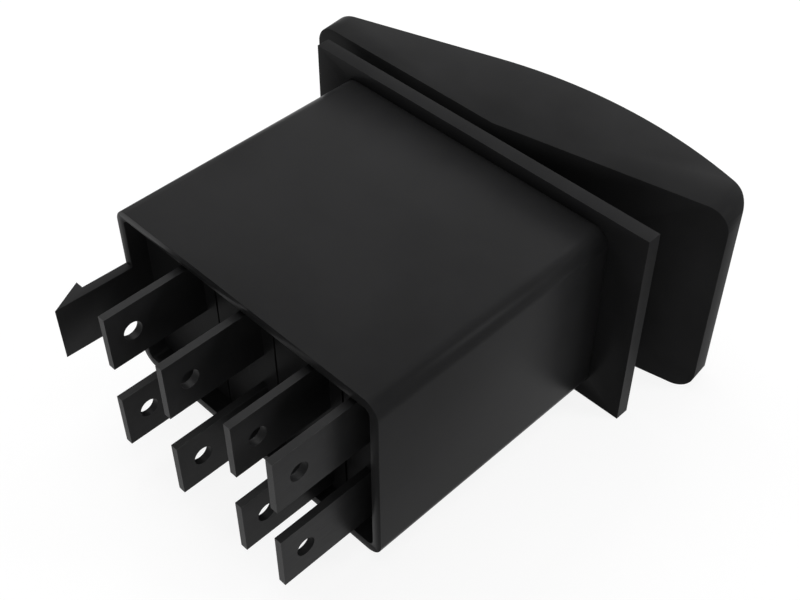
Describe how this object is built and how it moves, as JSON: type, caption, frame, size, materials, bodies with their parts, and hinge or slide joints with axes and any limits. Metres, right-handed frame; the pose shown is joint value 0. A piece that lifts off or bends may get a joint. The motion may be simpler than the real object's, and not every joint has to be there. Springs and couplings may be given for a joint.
{
  "type": "panel rocker switch",
  "caption": "Snap-in style rocker switch with a wide curved cap, thin bezel flange, deep rectangular case, rear latch tongue and two rows of push-on blade tabs.",
  "frame": {"origin": "middle of the bezel flange's rear face, where the panel's front lies", "axes": "+Y back through the panel along the case to the tabs, +X towards the latch end of the case, +Z across the switch"},
  "size_m": [0.0501, 0.0525, 0.0242],
  "materials": {
    "case": "matte moulded black plastic",
    "bezel": "matte moulded black plastic",
    "base": "matte moulded black plastic",
    "rocker": "fine matte texture",
    "lever": "smooth moulded black plastic",
    "lens": "smoked dark red light pipe",
    "terminal": "black plated brass sheet, satin",
    "contact": "silver alloy, satin",
    "bridge_metal": "copper alloy strip, satin",
    "pin_steel": "ground steel pin",
    "spring_steel": "drawn spring wire",
    "lead_wire": "tinned wire",
    "lamp_glass": "diffuse red lamp"
  },
  "bodies": {
    "housing": {"case": "case", "bezel": "bezel", "base_plate": "base", "pivot_pin": "pin_steel", "lamp": "lamp_glass", "lamp_holder": "base", "terminal_bar_near": "base", "terminal_bar_common": "base", "terminal_bar_far": "base", "terminal_bar_lamp": "base", "terminal_near_upper": "terminal", "terminal_common_upper": "terminal", "terminal_far_upper": "terminal", "terminal_lamp_upper": "terminal", "fixed_contact_near_upper": "contact", "fixed_contact_far_upper": "contact", "lamp_lead_upper": "lead_wire", "terminal_near_lower": "terminal", "terminal_common_lower": "terminal", "terminal_far_lower": "terminal", "terminal_lamp_lower": "terminal", "fixed_contact_near_lower": "contact", "fixed_contact_far_lower": "contact", "lamp_lead_lower": "lead_wire"},
    "rocker": {"rocker_cap": "rocker", "rocker_lever": "lever", "rocker_lens": "lens", "plunger_spring_upper": "spring_steel", "plunger_spring_lower": "spring_steel"},
    "plunger_upper": {"plunger_upper": "lever"},
    "bridge_upper": {"contact_bridge_upper": "bridge_metal", "moving_contact_near_upper": "contact", "moving_contact_far_upper": "contact"},
    "plunger_lower": {"plunger_lower": "lever"},
    "bridge_lower": {"contact_bridge_lower": "bridge_metal", "moving_contact_near_lower": "contact", "moving_contact_far_lower": "contact"}
  },
  "joints": [
    {"name": "rocker_tilt", "type": "hinge", "parent": "housing", "child": "rocker", "pos_m": [0, -0.0048, 0], "axis": [0, 0, 1], "range_deg": [-11.8, 0]},
    {"name": "bridge_upper_tilt", "type": "hinge", "parent": "housing", "child": "bridge_upper", "pos_m": [0, 0.0174, 0.00532], "axis": [0, 0, 1], "range_deg": [0, 10]},
    {"name": "plunger_upper_slide", "type": "slide", "parent": "rocker", "child": "plunger_upper", "axis": [0.1028, -0.9947, 0], "range_m": [0, 0.0012], "stiffness_N_per_m": 800, "springref_m": -0.0015, "deforming": ["plunger_spring_upper"]},
    {"name": "bridge_lower_tilt", "type": "hinge", "parent": "housing", "child": "bridge_lower", "pos_m": [0, 0.0174, -0.00532], "axis": [0, 0, 1], "range_deg": [0, 10]},
    {"name": "plunger_lower_slide", "type": "slide", "parent": "rocker", "child": "plunger_lower", "axis": [0.1028, -0.9947, 0], "range_m": [0, 0.0012], "stiffness_N_per_m": 800, "springref_m": -0.0015, "deforming": ["plunger_spring_lower"]}
  ],
  "couplings": [
    {"joint": "bridge_upper_tilt", "follows": "rocker_tilt", "ratio": -0.8474},
    {"joint": "bridge_lower_tilt", "follows": "rocker_tilt", "ratio": -0.8474}
  ]
}
